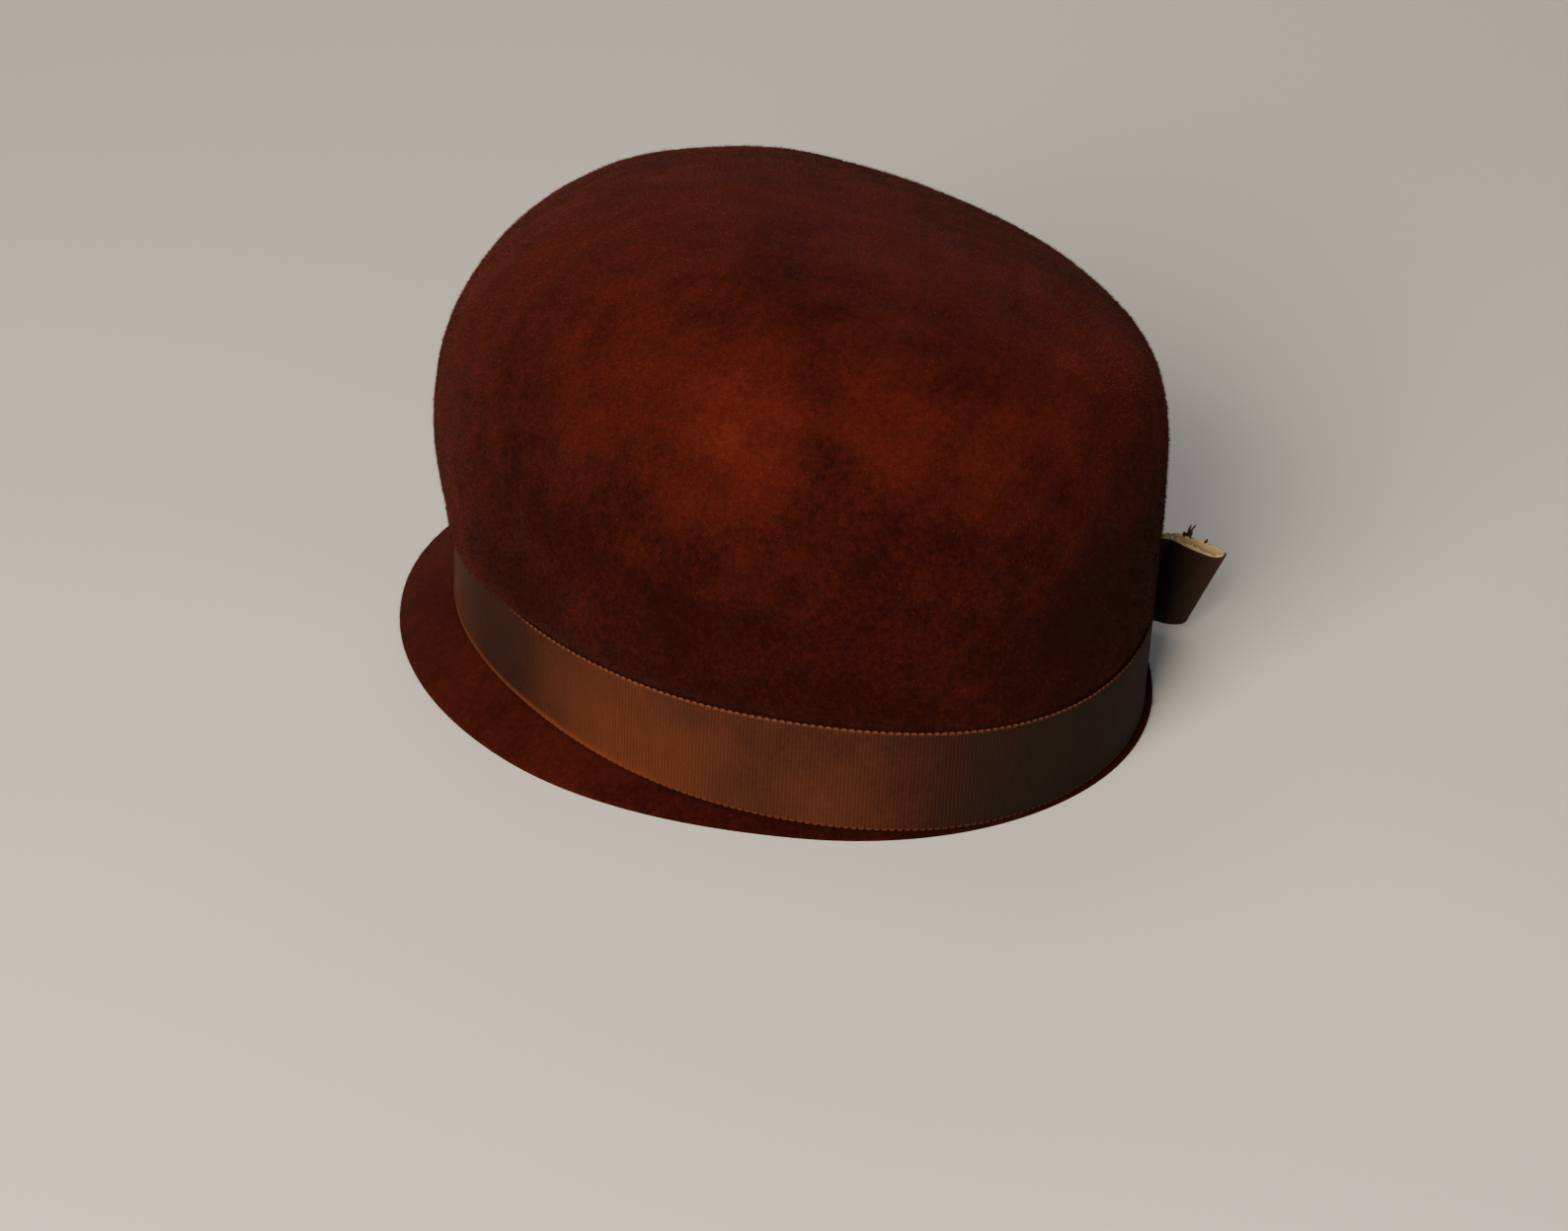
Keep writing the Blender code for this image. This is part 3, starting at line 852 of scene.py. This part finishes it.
def ribbon_material(name, fresh, dark, light, edge_highlight, pitch, width):
    """Ribbed ribbon: darkest where its dye is fresh, lighter as it fades, with painted light and shade on
    it, painted shade in its furrows and a painted highlight on its looped edge.
    """
    made, tree, shader = new_material(name, 0.75, 0.12)
    shader.inputs["Specular Tint"].default_value = (1.0, 0.88, 0.80, 1)
    weave = add_group(tree, ribbon_weave, {"Rib pitch": pitch, "Half width": width / 2})
    cloud = add_group(tree, fibre_grain, {"Clump size": 60, "Hair size": 900})
    fade_and_light = tree.nodes.new("ShaderNodeAttribute")
    fade_and_light.attribute_name = "fade_and_light"
    amount = math_node(tree, "MULTIPLY_ADD", cloud.outputs["Mask"], 0.6, fade_and_light.outputs["Fac"])
    faded_and_lit = colour_ramp(tree, amount, ((0.02, fresh), (0.24, dark), (0.83, light)))
    # Painted shade in the furrows between the ribs, and a painted highlight on the looped edge
    ribbed = colour_mix(tree, weave.outputs["Furrow"], faded_and_lit, (0.74, 0.70, 0.68), "MULTIPLY")
    edged = colour_mix(tree, weave.outputs["Edge"], ribbed, edge_highlight)
    tree.links.new(edged, shader.inputs["Base Color"])
    add_bump(tree, shader, weave.outputs["Height"], 0.5, 0.00012)
    return made


def set_fade_and_light(made, amounts):
    """An attribute for each vertex, from 0 for fresh dye to about 1, which holds the ribbon's fading and its
    painted light and shade.
    """
    layer = made.data.attributes.new("fade_and_light", "FLOAT", "POINT")
    layer.data.foreach_set("value", np.ravel(amounts).astype(np.float32))


# Fresh, dark and light dye, then the painted highlight on the looped edge
band_ribbon = ribbon_material(
    "band_ribbon", (0.0100, 0.0048, 0.0037), (0.020, 0.0050, 0.0022), (0.102, 0.0262, 0.0104),
    (0.118, 0.038, 0.019), BAND_LENGTH * 1000 / BAND_RIBS, RIBBON_WIDTH * 1000,
)
band = mesh_piece("ribbed_band", band_points, ring_faces(len(band_points), band_columns), band_ribbon)
# The ribbon's fading with its painted light and shade, round the hat
band_fade_and_light = 0 * band_turn
for place in FADING_AND_PAINTED_LIGHT:
    band_fade_and_light = band_fade_and_light + place["amount"] * round_bell(np.degrees(band_turn), place)
band_share = np.concatenate([looped, back_looped])
lower_edge_paling = LOWER_EDGE_PALING["amount"] * round_bell(np.degrees(band_turn), LOWER_EDGE_PALING)
lower_edge_paling = lower_edge_paling * ease((-band_share - PALING_FROM) / PALING_EASE)
set_fade_and_light(band, band_fade_and_light * FADE_AND_LIGHT_GAIN * (1 - FADE_AND_LIGHT_SLOPE * band_share) + FADE_AND_LIGHT_LEVEL + lower_edge_paling)
band_along = np.broadcast_to(band_at[None, :] * BAND_LENGTH, band_points.shape[:2])
cloth_map(band, band_along, band_share * RIBBON_WIDTH)
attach(band, "root")
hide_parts("hat_band")


# Bow loops
# A length of the same kind of ribbon folded into two loops, one forward and one back, which stand
# off the band in a V. It is nearly black, and its fold slants because the top edge runs longer.

BOW_TURN = math.radians(250)
BOW_LENGTH = 0.0298
BOW_SPREAD = math.radians(25)
BOW_RIBBON_WIDTH = 0.0243
BOW_THICKNESS = 0.0077
BOW_FLARE = 0.21
FOLD_POINT = 1.6
BOW_PINCH = 0.0032
BOW_DROP = 0.0014
BOW_WALL = 0.0010
BOW_CLEAR = 0.0003
BOW_SLANT = 0.465
BOW_GATHER = 0.18
BOW_BEND = 0.30
BOW_OPENING = 0.58
KNOT_WIDTH = 0.0105
KNOT_GAP = 0.0005
LOOP_RIBBON = 0.00045
LOOP_SCALLOP = 0.00008
BOW_RIB = 0.00095
BOW_RIB_DEPTH = 0.00006
INNER_SHARE = 0.985
LOOP_ROWS = 14
LOOP_COLUMNS = 520
SIDE_STEPS = 120
FOLD_STEPS = 60

# The bow's dye where fresh, where dark and where lightest
BOW_DYES = ((0.022, 0.0126, 0.0090), (0.028, 0.0160, 0.0115), (0.050, 0.0285, 0.0195))

bow_at = np.array([BOW_TURN])
bow_x, bow_y = (float(value[0]) for value in oval(bow_at))
bow_out = places(*oval_normal(bow_at), 0.0)[0]
bow_back = np.cross(bow_out, np.array([0.0, 0.0, 1.0]))
bow_stand = BOW_PINCH / 2 + BOW_CLEAR + BOW_WALL + KNOT_GAP
bow_height = seat_height(bow_y) + RIBBON_WIDTH / 2 - BOW_DROP
BOW_MIDDLE = np.array([bow_x, bow_y + SEAT_SHIFT / 2, bow_height]) + bow_out * bow_stand + HAT_CENTRE


def past_knot(length, stretch):
    """A step from 0 in the knot to 1 at a share of the bow's length past it."""
    return ease((np.abs(length) - KNOT_WIDTH / 2 - BOW_CLEAR) / (BOW_LENGTH * stretch))


def bow_point(length, across, lift):
    """A place on the bow: each loop turns off the hat past the knot and runs longer along its top."""
    bend = past_knot(length, BOW_BEND)
    spread = (BOW_SPREAD * bend)[..., None]
    ahead = bow_back * np.sign(length)[..., None]
    way = ahead * np.cos(spread) + bow_out * np.sin(spread)
    square = bow_out * np.cos(spread) - ahead * np.sin(spread)
    reach = (np.abs(length) + BOW_SLANT * lift * bend)[..., None]
    point = BOW_MIDDLE + way * reach + square * across[..., None]
    rise = lift * (1 - BOW_GATHER * (1 - bend))
    return point + rise[..., None] * np.array([0.0, 0.0, 1.0])


def loop_path(start, inset, lift):
    """Round one loop at a height: its hat side, a pointed oval fold and its outer side."""
    thickness = BOW_THICKNESS * (1 - BOW_FLARE * lift / (BOW_RIBBON_WIDTH / 2))
    radius = thickness / 2
    tip = BOW_LENGTH - radius * FOLD_POINT
    side = np.linspace(start, tip, SIDE_STEPS, endpoint=False)
    half = (BOW_PINCH + (thickness - BOW_PINCH) * past_knot(side, BOW_OPENING)) / 2 - inset
    turn = (np.arange(FOLD_STEPS + 1) / FOLD_STEPS - 0.5) * math.pi
    fold_length = tip + (radius * FOLD_POINT - inset) * np.cos(turn)
    fold_across = (radius - inset) * np.sin(turn)
    length = np.concatenate([side, fold_length, side[::-1]])
    return length, np.concatenate([-half, fold_across, half[::-1]])


def both_loops(inset, lift):
    """The rear loop and then the front one, which is the same turned half round the knot."""
    length, across = loop_path(KNOT_WIDTH / 2, inset, lift)
    return np.append(np.append(length, -length), length[0]), np.append(np.append(across, -across), across[0])


def even_path(length, across, steps):
    """The same path with evenly spaced points, and the distance run at each."""
    run = np.concatenate([[0], np.cumsum(np.hypot(np.diff(length), np.diff(across)))])
    at = np.linspace(0, run[-1], steps)
    return np.interp(at, run, length), np.interp(at, run, across), at


def strip_rows(shares, inset, rib_depth):
    """Rows across the bow's ribbon at a depth in from its face, with ribs and small edge loops."""
    paths = [even_path(*both_loops(inset, share * BOW_RIBBON_WIDTH), LOOP_COLUMNS + 1) for share in shares]
    length, across, _ = (np.array(values)[:, :-1] for values in zip(*paths))
    out_length = np.roll(across, -1, axis=1) - np.roll(across, 1, axis=1)
    out_across = np.roll(length, 1, axis=1) - np.roll(length, -1, axis=1)
    size = np.hypot(out_length, out_across)
    ribs = np.arange(LOOP_COLUMNS) / LOOP_COLUMNS * BOW_RIBS
    offset = (rib_height(ribs) - 1) * rib_depth / size
    level = shares[:, None] + 0 * length
    level = looped_edge(level, np.abs(np.sin(math.pi * ribs / 2)), BOW_RIBBON_WIDTH, LOOP_SCALLOP)
    lift = level * BOW_RIBBON_WIDTH
    return bow_point(length + out_length * offset, across + out_across * offset, lift), lift


LOOP_TOTAL = float(even_path(*both_loops(0.0, 0.0), LOOP_COLUMNS + 1)[2][-1])
BOW_RIBS = 2 * round(LOOP_TOTAL / BOW_RIB / 2)
loop_shares = across_shares(LOOP_ROWS)
loop_outside, lift_outside = strip_rows(loop_shares, 0.0, BOW_RIB_DEPTH)
loop_inside, lift_inside = strip_rows(loop_shares[::-1] * INNER_SHARE, LOOP_RIBBON, 0.0)
loop_points = np.concatenate([loop_outside, loop_inside])
# The bow's dyes, then the painted highlight on its looped edge
bow_ribbon = ribbon_material(
    "bow_ribbon", *BOW_DYES, (0.056, 0.0320, 0.0215), LOOP_TOTAL * 1000 / BOW_RIBS, BOW_RIBBON_WIDTH * 1000
)
loops = mesh_piece("bow_ribbon_loops", loop_points, ring_faces(2 * LOOP_ROWS, LOOP_COLUMNS), bow_ribbon)
loop_along = np.arange(LOOP_COLUMNS) / LOOP_COLUMNS * LOOP_TOTAL + 0 * loop_points[..., 0]
cloth_map(loops, loop_along, np.concatenate([lift_outside, lift_inside]))
set_fade_and_light(loops, 0 * loop_along)
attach(loops, "root")
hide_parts("bow_loops")


# Bow linings
# A strip of pale open-weave stiffening inside each loop, which keeps it from going flat.
# It is cut by hand, so its edges are a little frayed and stand just level with the ribbon's.

LINING_START = 0.03
LINING_WALL = 0.0004
LINING_GAP = 0.00012
LINING_STAND = 0.00035
LINING_FRAY = 0.00045
FRAY_SHARE = 0.05
LINING_ROWS = 12
LINING_COLUMNS = 220

# The stiffening's threads, in millimetres
THREAD_PITCH = 0.55


def lining_material():
    """Pale buckram: a plain open weave of thick threads, yellowed and darker between threads."""
    made, tree, shader = new_material("bow_lining", 0.85, 0.15)
    place = tree.nodes.new("ShaderNodeUVMap")
    place.uv_map = "cloth"
    weave = tree.nodes.new("ShaderNodeTexBrick")
    set_inputs(weave, {
        "Scale": 1.0, "Brick Width": THREAD_PITCH, "Row Height": THREAD_PITCH,
        "Color1": (0.80, 0.62, 0.35, 1), "Color2": (0.68, 0.52, 0.28, 1),
        "Mortar": (0.38, 0.27, 0.13, 1), "Mortar Size": 0.10, "Mortar Smooth": 0.8,
    })
    tree.links.new(place.outputs["UV"], weave.inputs["Vector"])
    tree.links.new(weave.outputs["Color"], shader.inputs["Base Color"])
    add_bump(tree, shader, math_node(tree, "SUBTRACT", 1.0, weave.outputs["Fac"]), 0.6, 0.00015)
    return made


buckram = lining_material()


def open_faces(rows, columns):
    """Quads of a grid that is closed round its rows and open at its two end columns, with end caps."""
    low = np.arange(rows)[:, None] * columns
    high = (np.arange(rows)[:, None] + 1) % rows * columns
    here = np.arange(columns - 1)[None, :]
    quads = np.stack([low + here, low + here + 1, high + here + 1, high + here], -1).reshape(-1, 4)
    half = rows // 2
    pair = np.arange(half - 1)
    front = rows - 1 - pair
    first = np.stack([pair * columns, (pair + 1) * columns, (front - 1) * columns, front * columns], -1)
    final = first[:, ::-1] + columns - 1
    return np.concatenate([quads, first, final]).tolist()


def bow_lining(name, side, node):
    """One loop's lining: side 1 is the rear loop and -1 the front one."""
    start = KNOT_WIDTH / 2 + BOW_CLEAR + LINING_START * BOW_LENGTH
    rng = np.random.default_rng(40 + side)
    ragged = np.convolve(rng.normal(size=LINING_COLUMNS + 2), np.ones(3) / 3, "valid") * LINING_FRAY
    sides = []
    lifts = []
    for inset, order in ((0.0, 1), (LINING_WALL, -1)):
        shares = across_shares(LINING_ROWS)[::order]
        depth = (LOOP_RIBBON + LINING_GAP + inset) * math.hypot(1, BOW_SLANT)
        levels = shares * BOW_RIBBON_WIDTH
        paths = [even_path(*loop_path(start, depth, lift), LINING_COLUMNS) for lift in levels]
        length, across, at = (np.array(values) for values in zip(*paths))
        at_edge = near_edge(shares, FRAY_SHARE) * np.sign(shares)
        lift = levels[:, None] + at_edge[:, None] * (ragged + LINING_STAND)
        sides.append(bow_point(side * length, side * across, lift))
        lifts.append(lift)
    points = np.concatenate(sides)
    made = mesh_piece(name, points, open_faces(2 * LINING_ROWS, LINING_COLUMNS), buckram)
    cloth_map(made, at.mean(0) + 0 * points[..., 0], np.concatenate(lifts))
    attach(made, "root")
    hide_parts(node)


bow_lining("bow_lining_rear", 1, "bow_stiffener_rear")
bow_lining("bow_lining_front", -1, "bow_stiffener_front")


# Bow knot
# A short piece of ribbon with its edges folded under, wrapped tightly round the bow's middle.
# It gathers the loops, and it is sewn down to the band at the back.

KNOT_WALL = 0.0008
KNOT_ROWS = 26
KNOT_STEPS = 168
KNOT_CORNERING = 0.25
KNOT_POWER = 0.35
KNOT_TUCK = 0.0002
PLEATS = 2.5
PLEAT_PHASE = 0.6
PLEAT_DEPTH = 0.00016
EDGE_ROLL = 0.00035
ROLL_SHARE = 0.1


def knot_section(grown):
    """A rounded rectangle round the bow's middle: straight sides joined by quarter circles."""
    cover = BOW_CLEAR + BOW_WALL + grown
    turn = np.linspace(0, 2 * math.pi, KNOT_STEPS, endpoint=False)
    corner = turn + KNOT_CORNERING * np.sin(4 * turn)
    side = np.sign(np.cos(corner)) * np.abs(np.cos(corner)) ** KNOT_POWER
    level = np.sign(np.sin(corner)) * np.abs(np.sin(corner)) ** KNOT_POWER
    across = side * BOW_PINCH / 2 + cover * np.cos(corner)
    lift = level * BOW_RIBBON_WIDTH / 2 + cover * np.sin(corner) / (1 - BOW_GATHER)
    return across, lift


def knot_rows(share, grown):
    """Rows along the bow, each one section of the knot grown by its own amount."""
    across, lift = knot_section(grown)
    return bow_point(share * (KNOT_WIDTH - KNOT_TUCK) + 0 * across, across, lift)


# Soft pleats run round the knot, and its edges are rolled under
knot_share = across_shares(KNOT_ROWS)[:, None]
pleats = PLEAT_DEPTH * np.sin(knot_share * 2 * math.pi * PLEATS + PLEAT_PHASE)
rolled = EDGE_ROLL * near_edge(knot_share, ROLL_SHARE)
knot_outside = knot_rows(knot_share, pleats - rolled)
knot_inside = knot_rows(knot_share[::-1], 0 * knot_share - KNOT_WALL)
knot_points = np.concatenate([knot_outside, knot_inside])
knot_run = np.linalg.norm(np.diff(knot_outside[KNOT_ROWS // 2], axis=0), axis=1)
knot_close = np.linalg.norm(knot_outside[KNOT_ROWS // 2][0] - knot_outside[KNOT_ROWS // 2][-1])
KNOT_LENGTH = float(knot_run.sum() + knot_close)
knot_ribbon = ribbon_material(
    "knot_ribbon", *BOW_DYES, (0.040, 0.0230, 0.0160), BOW_RIB * 1000, BOW_RIBBON_WIDTH * 1000
)
knot = mesh_piece("bow_ribbon_knot", knot_points, ring_faces(2 * KNOT_ROWS, KNOT_STEPS), knot_ribbon)
knot_along = np.broadcast_to(np.arange(KNOT_STEPS) / KNOT_STEPS * KNOT_LENGTH, knot_points.shape[:2])
knot_across = np.concatenate([knot_share, knot_share[::-1]]) * KNOT_WIDTH + 0 * knot_along
cloth_map(knot, knot_along, knot_across)
set_fade_and_light(knot, 0 * knot_along)
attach(knot, "root")
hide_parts("bow_knot")


# Loose threads
# Short dark ends of sewing thread and frayed ribbon that stand up from the rear loop's outer edge.
# They were never trimmed.

LOOSE_THREADS = (
    {"run": 0.0156, "out": 0.15, "bend": 0.12, "length": 0.0042, "radius": 0.00036},
    {"run": 0.0158, "out": 0.20, "bend": 0.45, "length": 0.0040, "radius": 0.00030},
    {"run": 0.0154, "out": -0.60, "bend": 0.30, "length": 0.0022, "radius": 0.00045},
    {"run": 0.0160, "out": 0.80, "bend": -0.30, "length": 0.0022, "radius": 0.00042},
    {"run": 0.0161, "out": 0.10, "bend": -0.60, "length": 0.0022, "radius": 0.00036},
    {"run": 0.0212, "out": 0.70, "bend": -0.30, "length": 0.0017, "radius": 0.00032},
    {"run": 0.0218, "out": -0.60, "bend": 0.20, "length": 0.0015, "radius": 0.00032},
)
THREAD_SUNK = np.array([0.0, 0.0, 0.0006])

thread = {column: np.array([row[column] for row in LOOSE_THREADS]) for column in LOOSE_THREADS[0]}
thread_opening = past_knot(thread["run"], BOW_OPENING)
thread_half = (BOW_PINCH + (BOW_THICKNESS * (1 - BOW_FLARE) - BOW_PINCH) * thread_opening) / 2
thread_root = bow_point(thread["run"], thread_half - LOOP_RIBBON, BOW_RIBBON_WIDTH / 2 + 0 * thread_half)
thread_heading = np.array([0.0, 0.0, 1.0]) + thread["out"][:, None] * bow_out
thread_bend = thread["bend"][:, None] * bow_out
thread_surface = dyed_material("loose_thread", 0.85, 0.1, (0.060, 0.0240, 0.0200))
thread_tubes = strand_points(
    thread_root - THREAD_SUNK, thread_heading, thread_bend, thread["length"], thread["radius"]
)
threads = mesh_piece("bow_loose_threads", thread_tubes, strand_faces(len(LOOSE_THREADS)), thread_surface)
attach(threads, "root")


# Floor, light and camera
# A plain pale floor, a large soft lamp to the left of the camera, a dimmer cool one to the right,
# one overhead, and one on the far side that lights the hat's front.

LAMP_AIM = Vector((0.0, 0.0, 0.06))

# Where the camera stands and how it is turned, and what it aims at
AZIMUTH = math.radians(140.0)
ELEVATION = math.radians(28.452)
ROLL = math.radians(1.135)
CAMERA_DISTANCE = 0.950
CAMERA_LENS = 84.07
AIM_HEIGHT = 0.0612
AIM_RIGHT = -0.003031
AIM_UP = -0.044932

bpy.ops.mesh.primitive_plane_add(size=8, location=(0, 0, 0))
floor = bpy.context.object
floor.name = "studio_floor"
floor.data.materials.append(dyed_material("studio_floor", 0.8, 0.2, (0.62, 0.60, 0.57)))

world = bpy.data.worlds.new("studio")
world.use_nodes = True
set_inputs(world.node_tree.nodes["Background"], {"Color": (0.92, 0.88, 0.86, 1), "Strength": 0.08})
bpy.context.scene.world = world


def soft_lamp(name, place, size, watts, colour):
    """A square lamp that faces the hat."""
    light = bpy.data.lights.new(name, "AREA")
    light.size = size
    light.energy = watts
    light.color = colour
    made = new_object(name, light)
    made.location = place
    made.rotation_euler = (LAMP_AIM - Vector(place)).to_track_quat("-Z", "Y").to_euler()


soft_lamp("warm_key", (1.10, 0.60, 0.74), 0.7, 44, (1.0, 0.86, 0.70))
soft_lamp("cool_fill", (0.37, 1.40, 0.70), 0.9, 3.8, (0.62, 0.80, 1.0))
soft_lamp("overhead", (0.2, -0.2, 1.7), 1.4, 3, (1.0, 0.96, 0.90))
soft_lamp("front_fill", (-0.95, -1.05, 0.75), 1.2, 9, (1.0, 0.92, 0.84))

camera_data = bpy.data.cameras.new("camera")
camera_data.lens = CAMERA_LENS
camera_data.sensor_width = 36
camera = new_object("camera", camera_data)
to_camera = Vector((
    math.sin(AZIMUTH) * math.cos(ELEVATION), -math.cos(AZIMUTH) * math.cos(ELEVATION), math.sin(ELEVATION)
))
level_right = (-to_camera).cross(Vector((0, 0, 1))).normalized()
level_up = level_right.cross(-to_camera)
right = level_right * math.cos(ROLL) + level_up * math.sin(ROLL)
up = level_up * math.cos(ROLL) - level_right * math.sin(ROLL)
aim = Vector(HAT_CENTRE.tolist()) + Vector((0, 0, AIM_HEIGHT))
aim = aim + level_right * AIM_RIGHT + level_up * AIM_UP
turned = Matrix((right, up, to_camera)).transposed().to_4x4()
camera.matrix_world = Matrix.Translation(aim + to_camera * CAMERA_DISTANCE) @ turned
bpy.context.scene.camera = camera
